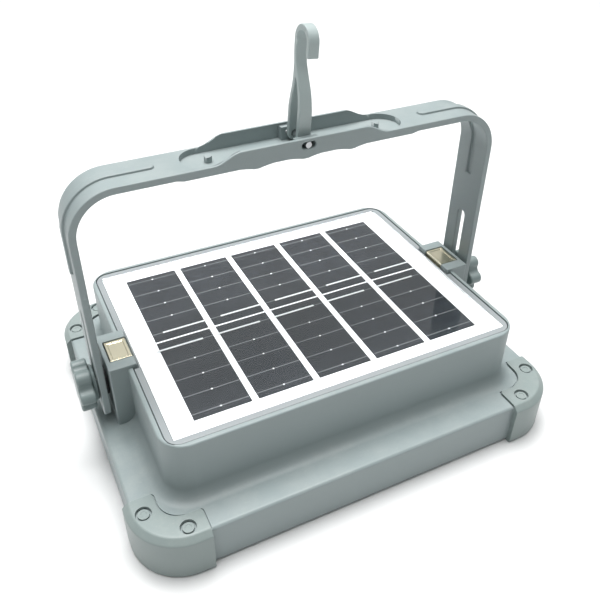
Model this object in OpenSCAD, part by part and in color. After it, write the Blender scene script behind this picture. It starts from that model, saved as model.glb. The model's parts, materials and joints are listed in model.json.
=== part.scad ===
// Solar flood light, lying on its front: flared base, box with the solar
// panel on its back, tilting bail handle, folding hanging hook.
// +X along the light, +Z up, origin on the floor under the middle of the base.

/* [Base] */
// Length of the base over its straight walls
base_l = 234; // [190:1:290]
// Depth of the base over its straight walls
base_w = 187; // [155:1:230]
// Height of the base's walls
base_h = 24.7; // [21:0.1:34]
// Corner radius of the base
base_r = 24; // [18:1:30]
// Wall thickness of the housing
wall = 2.4; // [1.8:0.1:3]
// Height of the bumpers' feet under the base's walls
foot_h = 1.2; // [0.8:0.1:3]

/* [Box and pillars] */
// Width of the ledge beside the box, along X
ledge_x = 18.4; // [16:0.1:24]
// Width of the ledge before and behind the box
ledge_y = 19.5; // [15:0.1:28]
// Height of the box's rim above the ledge
box_h = 35.6; // [32:0.1:50]
// Corner radius of the box
box_r = 13; // [11:1:20]
// How far each pillar stands out of the box
pillar_out = 9.4; // [8.5:0.1:10.5]
// Width of a pillar
pillar_w = 29.2; // [26:0.1:40]
// Height of the pillars above the box's rim
pillar_rise = 2.2; // [1:0.1:4]

/* [Solar panel] */
// Width of the frame round the panel
bezel_w = 3.5; // [2.5:0.1:5]
// Gap between that frame and the box's rim
panel_gap = 0.5; // [0.3:0.1:1]
// Corner radius of the frame round the panel
bezel_r = 7; // [6:0.5:9]
// Number of cell columns
columns = 5; // [3:1:8]
// Gap between cell columns
column_gap = 3.5; // [2:0.1:6]
// White margin left and right of the cells
margin_x = 12.3; // [6:0.1:16]
// White margin before and behind the cells
margin_y = 8.2; // [5:0.1:12]
// Gap between the two half cells of a column
half_gap = 1.4; // [0.8:0.1:3]
// Thickness of the clear cover
cover_t = 1.2; // [0.8:0.1:2]

/* [Bumpers] */
// How far a bumper stands out of the base
bumper_t = 2.8; // [1:0.1:3]
// Length of a bumper along X
bumper_lx = 30.5; // [28:0.5:40]
// Length of a bumper along Y
bumper_ly = 29.5; // [28:0.5:40]
// Width of a bumper's band on the ledge
bumper_band = 12; // [10:0.5:14]
// Distance of the screws from the base's edge
bumper_screw_in = 5.2; // [4.5:0.1:6]

/* [Bail handle] */
// Width of the strap
strap_w = 23.4; // [20:0.1:28]
// Thickness of the strap
strap_t = 3.5; // [3:0.1:5]
// Outer radius of the bail's corners
bail_r = 23; // [18:1:50]
// Height of the strap's top above the pivot
bail_rise = 112.8; // [90:0.1:150]
// Height of the pivot above the ledge
pivot_rise = 21.1; // [20.8:0.1:26]
// Width of the slots in the arms
slot_w = 5.8; // [5.4:0.1:7]
// Length of the slots above the pivot
slot_up = 46.2; // [20:0.1:55]
// Length of the slots below the pivot
slot_down = 12; // [10:0.5:14]
// Length of the arms below the pivot
arm_tail = 17.6; // [16:0.1:18.6]
// Radius of the arms' lower corners
tail_r = 7; // [4:0.5:10]
// Width of the raised rib round each corner
rib_w = 5; // [4:0.1:7]
// Height of that rib
rib_h = 1.2; // [0.8:0.1:2.5]
// Width of the groove inside the rib
groove_w = 4; // [2:0.1:5]
// Depth of the groove
groove_d = 1.3; // [0.8:0.1:1.8]
// Height of the rib's lower end above the pivot
rib_low = 68; // [58:0.5:72]
// Length of the rib along the top, from the arm's outer face
rib_in = 43.4; // [36:0.1:50]

/* [Grip and hook] */
// Half length of the level part of the trough's walls
grip_flat = 32; // [28:0.5:36]
// Length of the curve from there down to the strap
grip_ramp = 14; // [10:0.5:16]
// Height of the trough's walls above the strap
grip_h = 4.6; // [4.4:0.1:7]
// Thickness of the trough's walls
grip_wall = 1.5; // [1.2:0.1:2]
// Depth of the trough's floor below the strap's top
trough_d = 2.8; // [2.4:0.1:3]
// How far the grip bulges below the strap
grip_drop = 0.8; // [0.6:0.1:2]
// Distance between the finger ridges
finger_pitch = 25; // [20:0.5:28]
// Height of the finger ridges
finger_h = 1.6; // [1:0.1:3]
// Distance of each latch post from the middle
post_x = 44.5; // [44:0.1:46]
// Radius of the latch posts
post_r = 1.9; // [1.5:0.1:2.1]
// Height of the latch posts
post_h = 5.8; // [4:0.1:6.5]
// Place of the hook's slot along the grip
slot_x = 1.5; // [0:0.1:2]
// Travel of the hook's pin to each side
slot_travel = 2; // [1:0.1:2.4]
// Radius of the hook's pin
pin_r = 1.6; // [1.2:0.1:1.8]
// Width of the hook
hook_w = 7; // [6:0.1:7.4]
// Thickness of the hook's strip
hook_t = 2.6; // [2.2:0.1:3]
// Distance from the pin to the middle of the curl
hook_l = 45.7; // [45:0.1:46.5]
// Outer radius of the curl
curl_r = 7.2; // [6.9:0.1:7.4]
// Length of the tip below the middle of the curl
tip_l = 6.2; // [5.8:0.1:10]
// Half distance over the hook's legs
leg_out = 6.2; // [5:0.1:7]
// Angle by which the hook leans over at rest, towards +X
hook_lean = 3.4; // [0:0.1:6]

/* [Knobs] */
// Radius over a knob's lobes
knob_r = 13.4; // [11:0.1:16]
// Thickness of a knob
knob_t = 9.8; // [8:0.1:14]
// Number of lobes
lobes = 6; // [5:1:8]
// Radius of the knob's bolt
bolt_r = 2; // [1.8:0.1:2.2]

/* [Light and electronics] */
// Number of LEDs along X
led_nx = 10; // [6:1:12]
// Number of LEDs along Y
led_ny = 6; // [4:1:8]
// Number of battery cells
cells_n = 4; // [2:1:4]
// Diameter of a battery cell
battery_d = 18.4; // [14:0.1:18.6]
// Length of a battery cell
battery_l = 65; // [50:0.5:70]
// Radius of the power button
button_r = 6; // [4:0.5:6.5]
// Travel of the power button
button_travel = 0.8; // [0.5:0.1:1]

/* [Hidden] */
$fn = 64;
fit = 0.05;                        // running clearance round a pin
gap = 0.3;                         // clearance between moving pieces
slack = 0.1;                       // clearance round a seated piece
eps = 0.01;
big = 400;

// Base and box
base_top = foot_h + base_h;
box_l = base_l - 2*ledge_x;
box_w = base_w - 2*ledge_y;
rim_z = base_top + box_h;
rim_t = 2.3;
inner_l = box_l - 2*rim_t;
inner_w = box_w - 2*rim_t;
base_in_l = base_l - 2*wall;
base_in_w = base_w - 2*wall;
pillar_x = box_l/2 + pillar_out;
pillar_z = rim_z + pillar_rise;
pillar_in = 14.2;                  // a pillar's depth along X

// Solar panel, laid up from the deck
bezel_l = inner_l - 2*panel_gap;
bezel_d = inner_w - 2*panel_gap;
sheet_l = bezel_l - 2*bezel_w;
sheet_w = bezel_d - 2*bezel_w;
sheet_t = 0.5;
cell_t = 0.3;
ribbon_t = 0.15;
cover_z = rim_z - 0.6;             // top of the clear cover
cell_z = cover_z - cover_t - cell_t;
deck_z = cell_z - sheet_t;
deck_t = 2.2;
column_w = (sheet_l - 2*margin_x - (columns - 1)*column_gap)/columns;
cell_d = (sheet_w - 2*margin_y - half_gap)/2;
ribbon_w = 1.1;
pillar_notch = pillar_x - pillar_in;

// Pivot, bail and slots
pivot_z = base_top + pivot_rise;
bush_t = 1.3;
arm_in = pillar_x + gap + bush_t + gap;
arm_out = arm_in + strap_t;
strap_top = pivot_z + bail_rise;
strap_low = strap_top - strap_t;
knob_x = arm_out + gap;

// Grip, trough and hook
wall_top = strap_top + grip_h;
floor_z = strap_top - trough_d;
trough_r = strap_w/2 - grip_wall;
trough_c = post_x + 3.2;
pin_z = floor_z + hook_w/2 + 0.4;
curl_z = pin_z + hook_l;
curl_y = -2.3;
pad_x = 6;
grip_low = strap_low - grip_drop;
scallop_s = finger_h + 0.2;
scallop_r = (finger_pitch*finger_pitch/4 + scallop_s*scallop_s)/(2*scallop_s);

// Front of the light, from the floor upwards
frame_z = foot_h + 0.2;
lip_t = 1.6;
lens_t = 2.5;
gasket_t = 0.8;
lens_z = frame_z + lip_t;
gasket_z = lens_z + lens_t;
tray_z = gasket_z + gasket_t;
tray_h = 7.5;
tray_t = 1.2;
board_z = tray_z + tray_h;
board_t = 1.6;
frame_l = base_in_l - 2*slack;
frame_w = base_in_w - 2*slack;
frame_r = base_r - wall;
frame_band = 10;
seat_band = 6.8;
lens_l = frame_l - 2*seat_band - 2*slack;
lens_w = frame_w - 2*seat_band - 2*slack;
tray_l = lens_l - 5;
tray_w = lens_w - 5;
screw_in = frame_band/2;
boss_r = 3.4;
screw_r = 1.5;

// Magnets
magnet_l = 9.3;
magnet_w = 13.7;
magnet_t = 4;
cup_t = 0.8;
pocket_gap = 0.7;
magnet_x = pillar_x - 8.2;

// Electronics behind the rear wall
pcb_z = 38;
pcb_t = 1.6;
pcb_l = 96;
pcb_w = 35;
pcb_x = 34;
rear_y = box_w/2;
pcb_y = rear_y - rim_t - 3.5 - pcb_w/2;
pcb_edge = pcb_y + pcb_w/2;
button_x = pcb_x + 24;
button_z = pcb_z + pcb_t + 5;
port_x = pcb_x - 18;
port_z = pcb_z + pcb_t;
flap_l = 44;
flap_h = 17;
flap_t = 1.6;
flap_y = rear_y + gap;
flap_z = pcb_z + 13.5;             // hinge line of the flap
flap_axis_y = flap_y + flap_t/2;
lamp_step = 5;
lead_hole = [6, 30];               // where the panel's wires come through the deck

// Batteries, hung under the deck
battery_z = deck_z - deck_t - 2 - battery_d/2;
battery_pitch = battery_d + 1;
battery_x = -44;
cradle_t = 2;

// ---------- helpers ----------

// Flat rectangle with round corners
module rrect(l, w, r) {
    square([l - 2*r, w], center = true);
    square([l, w - 2*r], center = true);
    for (x = [-1, 1], y = [-1, 1]) translate([x*(l/2 - r), y*(w/2 - r)]) circle(r);
}

// Block with round corners, from z = 0 up
module rblock(l, w, r, h) {
    linear_extrude(h) rrect(l, w, r);
}

// Flat frame with round corners, from z = 0 up
module rframe(l, w, r, band, h) {
    difference() {
        rblock(l, w, r, h);
        translate([0, 0, -1]) rblock(l - 2*band, w - 2*band, max(r - band, 1), h + 2);
    }
}

// Flat slot with round ends along X
module stadium(l, r) {
    square([l, 2*r], center = true);
    for (x = [-1, 1]) translate([x*l/2, 0]) circle(r);
}

module box_at(low, high) {
    translate(low) cube(high - low);
}

// Round bar along X from x0 to x1
module bar_x(x0, x1, r) {
    translate([x0, 0, 0]) rotate([0, 90, 0]) cylinder(h = x1 - x0, r = r);
}

// Round bar along Y from y0 to y1
module bar_y(y0, y1, r) {
    translate([0, y1, 0]) rotate([90, 0, 0]) cylinder(h = y1 - y0, r = r);
}

// An outline drawn in X and Z, as thick as w along Y
module slab_y(w) {
    rotate([90, 0, 0]) linear_extrude(w, center = true) children();
}

// An outline drawn in Y and Z, as thick as w along X
module slab_x(w) {
    rotate([90, 0, 90]) linear_extrude(w, center = true) children();
}

// Smooth step from 0 to 1
function ease(u) = (1 - cos(180*min(max(u, 0), 1)))/2;

// Tube along a list of points, with n sides
function unit(v) = v/norm(v);
function along(p, i) = unit(p[min(i + 1, len(p) - 1)] - p[max(i - 1, 0)]);
function ring(p, i, r, n, t = 0) =
    let (d = along(p, i), a = unit(cross(d, abs(d[2]) > 0.9 ? [1, 0, 0] : [0, 0, 1])),
         b = cross(a, d))
    [for (k = [0:n - 1]) p[i] + r*(a*cos(360*k/n) + b*sin(360*k/n))];
function bezier(a, b, c, d, n) = [for (i = [0:n]) let (u = i/n)
    pow(1 - u, 3)*a + 3*u*pow(1 - u, 2)*b + 3*u*u*(1 - u)*c + pow(u, 3)*d];
module tube(p, r, n = 8) {
    m = len(p);
    polyhedron([for (i = [0:m - 1]) each ring(p, i, r, n)],
        concat([[for (k = [0:n - 1]) k]],
               [for (i = [0:m - 2], k = [0:n - 1])
                   [i*n + k, (i + 1)*n + k, (i + 1)*n + (k + 1)%n, i*n + (k + 1)%n]],
               [[for (k = [n - 1:-1:0]) (m - 1)*n + k]]));
}

// ---------- housing ----------

// Places of the case screws, seen from above
function case_screw_places() =
    [for (x = [-1, 1], y = [-1, 1]) [x*(frame_l/2 - screw_in), y*frame_w*0.22],
     for (x = [-1, 1], y = [-1, 1]) [x*frame_l*0.22, y*(frame_w/2 - screw_in)]];

// Places of the circuit board's screws
function board_screw_places() =
    [for (x = [-1, 1], y = [-1, 1]) [pcb_x + x*(pcb_l/2 - 4), pcb_y + y*(pcb_w/2 - 4)]];

module pillar(side) {
    low_x = side > 0 ? pillar_notch : -pillar_x;
    box_at([low_x, -pillar_w/2, base_top - wall], [low_x + pillar_in, pillar_w/2, pillar_z]);
}

module magnet_pocket(side) {
    translate([side*magnet_x, 0, pillar_z - magnet_t - 2*cup_t])
        linear_extrude(magnet_t + 3*cup_t)
            square([magnet_l + 2*cup_t + 2*pocket_gap, magnet_w + 2*cup_t + 2*pocket_gap],
                center = true);
}

module nut_pocket(side) {
    translate([0, 0, pivot_z]) bar_x(side > 0 ? pillar_x - 9 : -pillar_x - 1,
        side > 0 ? pillar_x + 1 : -pillar_x + 9, 4 + slack/4);
}

module rear_housing() {
    color([0.50, 0.55, 0.57]) difference() {
        union() {
            difference() {
                union() {
                    translate([0, 0, foot_h]) rblock(base_l, base_w, base_r, base_h);
                    translate([0, 0, base_top - 1]) rblock(box_l, box_w, box_r, box_h + 1);
                }
                translate([0, 0, foot_h - 1])
                    rblock(base_in_l, base_in_w, base_r - wall, base_h + 1 - wall);
                translate([0, 0, base_top - wall - 1])
                    rblock(inner_l, inner_w, box_r - rim_t, deck_z - deck_t - base_top + wall + 1);
                translate([0, 0, deck_z])
                    rblock(inner_l, inner_w, bezel_r + panel_gap, box_h);
            }
            for (side = [-1, 1]) pillar(side);
            for (p = case_screw_places()) translate([p[0], p[1], tray_z])
                cylinder(h = base_top - wall - tray_z + eps, r = boss_r);
            for (p = board_screw_places()) translate([p[0], p[1], pcb_z + pcb_t])
                cylinder(h = deck_z - deck_t - pcb_z - pcb_t + eps, r = 3);
        }
        for (side = [-1, 1]) {
            magnet_pocket(side);
            nut_pocket(side);
        }
        for (p = case_screw_places()) translate([p[0], p[1], tray_z - 1])
            cylinder(h = 13, r = screw_r + slack/2);
        for (p = board_screw_places()) translate([p[0], p[1], pcb_z])
            cylinder(h = 8, r = 1 + slack/2);
        translate([button_x, 0, button_z]) bar_y(rear_y - 4, rear_y + 1, button_r + gap);
        for (i = [0:3]) translate([button_x + 12 + i*lamp_step, 0, button_z])
            bar_y(rear_y - 4, rear_y + 1, 1.2 + slack/2);
        box_at([port_x - 15, rear_y - 4, port_z - slack], [port_x - 1.8, rear_y + 1, port_z + 7]);
        box_at([port_x + 3.5, rear_y - 4, port_z - slack], [port_x + 12.9, rear_y + 1, port_z + 3.5]);
        translate([lead_hole[0], lead_hole[1], deck_z - deck_t - 1]) cylinder(h = deck_t + 2, r = 3);
    }
}

// ---------- solar panel ----------

// The room that the pillars take out of the panel's frame
module pillar_gaps() {
    reach = 2*(pillar_notch - panel_gap);
    difference() {
        square([box_l, pillar_w + 2*panel_gap], center = true);
        square([reach, pillar_w + 4], center = true);
    }
}

module panel_bezel() {
    color([0.53, 0.57, 0.58]) translate([0, 0, deck_z]) linear_extrude(cover_z + 0.3 - deck_z)
        difference() {
            rrect(bezel_l, bezel_d, bezel_r);
            square([sheet_l, sheet_w], center = true);
            pillar_gaps();
        }
}

module panel_backsheet() {
    color([0.93, 0.94, 0.95]) translate([-sheet_l/2, -sheet_w/2, deck_z])
        cube([sheet_l, sheet_w, sheet_t]);
}

// Left edge of each column of cells
function column_x(i) = -sheet_l/2 + margin_x + i*(column_w + column_gap);

module solar_cells() {
    color([0.16, 0.17, 0.19])
        for (i = [0:columns - 1], side = [-1, 1])
            translate([column_x(i), side > 0 ? half_gap/2 : -half_gap/2 - cell_d, cell_z])
                cube([column_w, cell_d, cell_t]);
}

// The two tinned strips on each column, along X beside the middle gap
module cell_ribbons() {
    reach = 0.8*column_w;
    y = 6.2;
    color([0.86, 0.87, 0.88]) for (i = [0:columns - 1]) {
        translate([column_x(i) + column_w - reach, y, cell_z + cell_t])
            cube([reach + column_gap/2, ribbon_w, ribbon_t]);
        translate([column_x(i) - column_gap/2, -y - ribbon_w, cell_z + cell_t])
            cube([reach + column_gap/2, ribbon_w, ribbon_t]);
    }
}

module panel_cover() {
    color([0.85, 0.9, 0.95, 0.3])
        translate([-sheet_l/2 + slack/2, -sheet_w/2 + slack/2, cell_z + cell_t + ribbon_t])
            cube([sheet_l - slack, sheet_w - slack, cover_t - ribbon_t]);
}

// ---------- bumpers ----------

// Places of a bumper's screws in the back right corner
bumper_places = [[base_l/2 - bumper_screw_in, base_w/2 - bumper_ly + 9],
                 [base_l/2 - bumper_lx + 9, base_w/2 - bumper_screw_in]];

module bumper(sx, sy) {
    out = bumper_t;
    top = base_top + 1;
    color([0.50, 0.55, 0.57]) mirror([sx < 0 ? 1 : 0, 0, 0]) mirror([0, sy < 0 ? 1 : 0, 0])
        difference() {
            intersection() {
                rblock(base_l + 2*out, base_w + 2*out, base_r + out, top);
                linear_extrude(top + 1) difference() {
                    translate([base_l/2 - bumper_lx, base_w/2 - bumper_ly])
                        square([bumper_lx + 2*out, bumper_ly + 2*out]);
                    inner_x = base_l/2 - bumper_band;
                    inner_y = base_w/2 - bumper_band;
                    r = 9;
                    translate([inner_x - 60, inner_y - 60]) square([60 - r, 60]);
                    translate([inner_x - 60, inner_y - 60]) square([60, 60 - r]);
                    translate([inner_x - r, inner_y - r]) circle(r);
                }
            }
            translate([0, 0, foot_h]) rblock(base_l, base_w, base_r, base_h);
            for (p = bumper_places) translate([p[0], p[1], base_top - 1])
                cylinder(h = 4, r = 3.4);
        }
}

module bumper_screws() {
    color([0.48, 0.53, 0.55]) for (x = [-1, 1], y = [-1, 1], p = bumper_places)
        translate([x*p[0], y*p[1], base_top]) cylinder(h = 0.6, r = 2.7);
}

// ---------- front of the light ----------

module front_frame() {
    color([0.24, 0.26, 0.28]) difference() {
        translate([0, 0, frame_z]) rblock(frame_l, frame_w, frame_r - slack, tray_z - frame_z);
        translate([0, 0, frame_z - 1])
            rblock(frame_l - 2*frame_band, frame_w - 2*frame_band, 12, big);
        translate([0, 0, lens_z])
            rblock(lens_l + 2*slack, lens_w + 2*slack, 14 + slack, big);
        for (p = case_screw_places()) translate([p[0], p[1], 0]) {
            cylinder(h = lens_z - slack, r = 3);
            cylinder(h = 20, r = screw_r + slack);
        }
    }
}

module lens_cover() {
    color([0.9, 0.95, 1, 0.3]) translate([0, 0, lens_z]) rblock(lens_l, lens_w, 14, lens_t);
}

module lens_gasket() {
    color([0.12, 0.12, 0.13]) translate([0, 0, gasket_z])
        rframe(lens_l - 1, lens_w - 1, 13.5, 3, gasket_t);
}

// Middle of each LED
led_pitch_x = (tray_l - 20)/led_nx;
led_pitch_y = (tray_w - 20)/led_ny;
function led_place(i, j) = [(i - (led_nx - 1)/2)*led_pitch_x, (j - (led_ny - 1)/2)*led_pitch_y];

module reflector_tray() {
    color([0.92, 0.93, 0.94]) difference() {
        translate([0, 0, tray_z]) rblock(tray_l, tray_w, 11, tray_h);
        translate([0, 0, tray_z - 1])
            rblock(tray_l - 2*tray_t, tray_w - 2*tray_t, 11 - tray_t, tray_h + 1 - tray_t);
        for (i = [0:led_nx - 1], j = [0:led_ny - 1])
            translate([led_place(i, j)[0], led_place(i, j)[1], board_z])
                cube([4.4, 4.4, 6], center = true);
    }
}

module led_board() {
    color([0.86, 0.87, 0.86]) translate([0, 0, board_z]) rblock(tray_l, tray_w, 11, board_t);
}

module led_chips() {
    color([0.95, 0.85, 0.35]) for (i = [0:led_nx - 1], j = [0:led_ny - 1])
        translate([led_place(i, j)[0] - 1.8, led_place(i, j)[1] - 1.8, board_z - 0.8])
            cube([3.6, 3.6, 0.8]);
}

module case_screws() {
    color([0.7, 0.7, 0.72]) for (p = case_screw_places()) translate([p[0], p[1], frame_z + 0.3]) {
        cylinder(h = lip_t - 0.3 - slack, r = 2.8);
        cylinder(h = tray_z + 10 - frame_z, r = screw_r);
    }
}

// ---------- magnets ----------

module magnet(side) {
    color([0.35, 0.35, 0.37]) translate([side*magnet_x, 0, pillar_z - 2*cup_t - magnet_t/2])
        cube([magnet_l, magnet_w, magnet_t], center = true);
}

module magnet_cup(side) {
    outer = [magnet_l + 2*cup_t, magnet_w + 2*cup_t];
    color([0.83, 0.74, 0.52]) difference() {
        translate([side*magnet_x - outer[0]/2, -outer[1]/2, pillar_z - 2*cup_t - magnet_t])
            cube([outer[0], outer[1], magnet_t + 1.8*cup_t]);
        translate([side*magnet_x - magnet_l/2, -magnet_w/2, pillar_z - 2*cup_t - magnet_t - 1])
            cube([magnet_l, magnet_w, magnet_t + 1]);
        translate([side*magnet_x - magnet_l/2 + 0.7, -magnet_w/2 + 0.7, pillar_z - 0.7*cup_t])
            cube([magnet_l - 1.4, magnet_w - 1.4, 2]);
    }
}

// ---------- electronics ----------

function battery_place(i) = battery_x + (i - (cells_n - 1)/2)*battery_pitch;

module battery_cells() {
    color([0.25, 0.45, 0.75]) for (i = [0:cells_n - 1])
        translate([battery_place(i), 0, battery_z]) bar_y(-battery_l/2, battery_l/2, battery_d/2);
}

module battery_cradle() {
    half = cells_n*battery_pitch/2 + 2;
    color([0.15, 0.15, 0.16]) difference() {
        union() {
            box_at([battery_x - half, -battery_l/2 - 1.5, deck_z - deck_t - cradle_t + slack/2],
                [battery_x + half, battery_l/2 + 1.5, deck_z - deck_t]);
            for (y = [-1, 1])
                box_at([battery_x - half, y*battery_l*0.3 - 4, battery_z],
                    [battery_x + half, y*battery_l*0.3 + 4, deck_z - deck_t - 1]);
        }
        for (i = [0:cells_n - 1]) translate([battery_place(i), 0, battery_z])
            bar_y(-battery_l/2 - 3, battery_l/2 + 3, battery_d/2 + slack/2);
    }
}

module nickel_strips() {
    half = (cells_n - 1)*battery_pitch/2 + 3;
    color([0.78, 0.78, 0.76]) for (y = [-1, 1])
        translate([battery_x, y*(battery_l/2 + 0.15), battery_z])
            cube([2*half, 0.3, 8], center = true);
}

module control_board() {
    color([0.06, 0.35, 0.2]) difference() {
        translate([pcb_x - pcb_l/2, pcb_y - pcb_w/2, pcb_z]) cube([pcb_l, pcb_w, pcb_t]);
        for (p = board_screw_places()) translate([p[0], p[1], pcb_z - 1])
            cylinder(h = pcb_t + 2, r = 1.1);
    }
}

// Chips, coil and capacitors on the circuit board
module board_components() {
    z = pcb_z + pcb_t;
    color([0.1, 0.1, 0.11]) {
        translate([pcb_x - 22, pcb_y - 6, z]) cube([9, 9, 1.6]);
        translate([pcb_x - 4, pcb_y - 10, z]) cube([6, 5, 1.5]);
        translate([pcb_x + 24, pcb_y - 9, z]) cube([10, 10, 5]);
        for (i = [0:2]) translate([pcb_x + 4 + 7*i, pcb_y + 2, z]) cylinder(h = 7, r = 2.5);
        for (i = [0:5]) translate([pcb_x - 34 + 3*i, pcb_y - 14, z]) cube([1.6, 0.9, 0.7]);
    }
}

module board_screws() {
    color([0.7, 0.7, 0.72]) for (p = board_screw_places()) translate([p[0], p[1], pcb_z - 1.2]) {
        cylinder(h = 1.2, r = 2);
        cylinder(h = 7, r = 1);
    }
}

module usb_ports() {
    color([0.75, 0.76, 0.78]) {
        difference() {
            box_at([port_x - 15 + slack, pcb_edge - 9, port_z],
                [port_x - 1.8 - slack, rear_y - slack, port_z + 6.8]);
            box_at([port_x - 15 + 0.6, pcb_edge - 7, port_z + 0.6],
                [port_x - 1.8 - 0.6, rear_y + 1, port_z + 6.2]);
        }
        difference() {
            box_at([port_x + 3.5 + slack, pcb_edge - 6, port_z],
                [port_x + 12.9 - slack, rear_y - slack, port_z + 3.4]);
            box_at([port_x + 3.5 + 0.5, pcb_edge - 4, port_z + 0.4],
                [port_x + 12.9 - 0.5, rear_y + 1, port_z + 3]);
        }
    }
}

module tact_switch() {
    color([0.2, 0.2, 0.22]) {
        translate([button_x - 3, pcb_edge - 5, port_z]) cube([6, 4, 8]);
        translate([button_x, 0, button_z]) bar_y(pcb_edge - 2, pcb_edge, 1.5);
    }
}

module charge_lights() {
    color([0.7, 0.9, 0.7]) for (i = [0:3])
        translate([button_x + 12 + i*lamp_step, 0, button_z])
            bar_y(rear_y - rim_t - 2, rear_y + 0.3, 1.2);
}

// The wires inside, each a pair in one sleeve
module panel_lead() {
    start = [lead_hole[0], lead_hole[1], deck_z - 1];
    stop = [pcb_x - 30, pcb_y - 9, pcb_z + pcb_t + slack];
    color([0.7, 0.1, 0.1])
        tube(bezier(start, start - [0, 0, 8], stop + [0, 0, 8], stop, 12), 1);
}

module led_lead() {
    start = [pcb_x + 38, pcb_y - 6, pcb_z - 0.1];
    stop = [10, 10, board_z + board_t + 1];
    color([0.85, 0.85, 0.85])
        tube(bezier(start, start - [0, 0, 14], stop + [8, 8, 14], stop, 20), 1);
}

module battery_lead() {
    start = [battery_place(cells_n - 1) - 7, battery_l/2 + 1.4, battery_z];
    stop = [pcb_x - 42, pcb_y, pcb_z - slack];
    color([0.12, 0.12, 0.12])
        tube(bezier(start, start + [0, 8, -6], stop - [0, 0, 10], stop, 12), 1);
}

// ---------- button and port cover ----------

// The button: cap through the wall, flange behind it, stem towards the switch
module power_button() {
    inner = rear_y - rim_t - gap;
    color([0.85, 0.35, 0.1]) translate([button_x, 0, button_z]) {
        bar_y(inner - 1 + eps, rear_y + 1.2, button_r);
        bar_y(inner - 1, inner, button_r + 1.2);
        bar_y(pcb_edge + button_travel + slack, inner - 1 + eps, 1.8);
    }
}

// Rubber flap over the sockets, hinged along its top edge
module port_cover() {
    color([0.15, 0.16, 0.17]) {
        box_at([port_x - flap_l/2, flap_y, flap_z - flap_h], [port_x + flap_l/2, flap_y + flap_t, flap_z]);
        translate([port_x - flap_l/2, flap_axis_y, flap_z]) rotate([0, 90, 0])
            cylinder(h = flap_l, r = flap_t/2);
        box_at([port_x - 5, flap_y + flap_t - eps, flap_z - flap_h], [port_x + 5, flap_y + flap_t + 1, flap_z - flap_h + 3]);
    }
}

// ---------- pivots ----------

module pivot_nut(side) {
    x0 = side > 0 ? pillar_x - 9 : -pillar_x + 0.5;
    color([0.8, 0.65, 0.3]) translate([0, 0, pivot_z]) difference() {
        bar_x(x0, x0 + 8.5, 4);
        bar_x(x0 - 1, x0 + 10, bolt_r + fit);
    }
}

// Flanged bush: its boss keeps the arm's slot in line with the bolt
module pivot_bush(side) {
    color([0.2, 0.21, 0.22]) mirror([side < 0 ? 1 : 0, 0, 0]) translate([0, 0, pivot_z])
        difference() {
            union() {
                bar_x(pillar_x + gap, pillar_x + gap + bush_t, 8);
                translate([pillar_x + gap + bush_t - eps, -slot_w/2 + slack, -4.5])
                    cube([strap_t - 0.5 + gap, slot_w - 2*slack, 9]);
            }
            bar_x(pillar_x, arm_out + 1, bolt_r + fit);
        }
}

module knob_bolt(side) {
    color([0.72, 0.73, 0.75]) mirror([side < 0 ? 1 : 0, 0, 0]) translate([0, 0, pivot_z]) {
        bar_x(pillar_x - 8, knob_x + knob_t - 3, bolt_r);
        bar_x(knob_x + knob_t - 6, knob_x + knob_t - 3, bolt_r + 1.5);
    }
}

module knob_star() {
    valley = knob_r - 0.4;
    difference() {
        union() {
            circle(knob_r - 2.4);
            for (i = [0:lobes - 1]) rotate(i*360/lobes) translate([knob_r - 3.8, 0]) circle(3.8);
        }
        for (i = [0:lobes - 1]) rotate((i + 0.5)*360/lobes) translate([valley, 0]) circle(3);
    }
}

module knob(side) {
    color([0.50, 0.55, 0.57]) mirror([side < 0 ? 1 : 0, 0, 0]) translate([knob_x, 0, pivot_z])
        difference() {
            union() {
                bar_x(0, 2.2, knob_r - 4);
                translate([2, 0, 0]) rotate([90, 0, 90]) linear_extrude(knob_t - 2) knob_star();
            }
            bar_x(-1, knob_t - 3 + slack, bolt_r + slack/2);
            bar_x(knob_t - 6 - slack, knob_t - 3 + slack, bolt_r + 1.5 + slack/2);
        }
}

// ---------- bail handle ----------

// Area inside a bail whose outer faces are moved out by d, in X and Z
module bail_area(d) {
    half = arm_out + d;
    top = strap_top + d;
    r = bail_r + d;
    low = pivot_z - arm_tail - 40;
    translate([-half, low]) square([2*half, top - r - low]);
    translate([-half + r, low]) square([2*(half - r), top - low]);
    for (x = [-1, 1]) translate([x*(half - r), top - r]) circle(r);
}

// A band of the bail between two such areas
module bail_band(outer, inner) {
    difference() {
        bail_area(outer);
        bail_area(inner);
    }
}

// The part of the bail that the ribs run along: corner, upper arm and end of the top
module rib_zone() {
    for (x = [-1, 1]) {
        zone_x = arm_out - rib_in + rib_w/2;
        zone_z = pivot_z + rib_low + rib_w/2;
        translate([x > 0 ? zone_x : -zone_x - 80, zone_z]) square([80, 120]);
    }
}

module rib_band(outer, inner, w) {
    slab_y(w) intersection() {
        bail_band(outer, inner);
        rib_zone();
    }
    for (x = [-1, 1]) {
        intersection() {
            translate([x*(arm_out - rib_in + rib_w/2), 0, strap_top + min(outer, inner)])
                cylinder(h = abs(outer - inner), r = w/2);
            translate([x*(arm_out - rib_in + rib_w/2) - x*w/2, 0, strap_top])
                cube([w, 2*w, 30], center = true);
        }
        translate([x > 0 ? arm_out + inner : -arm_out - outer, 0, pivot_z + rib_low + rib_w/2])
            bar_x(0, outer - inner, w/2);
    }
}

// Outline of the trough's walls, in X and Z
module grip_walls() {
    steps = 12;
    end = grip_flat + grip_ramp;
    rise = [for (i = [0:steps]) [-end + grip_ramp*i/steps, strap_top + grip_h*ease(i/steps)]];
    fall = [for (i = [steps:-1:0]) [end - grip_ramp*i/steps, strap_top + grip_h*ease(i/steps)]];
    polygon(concat([[-end, strap_low]], rise, fall, [[end, strap_low]]));
}

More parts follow.
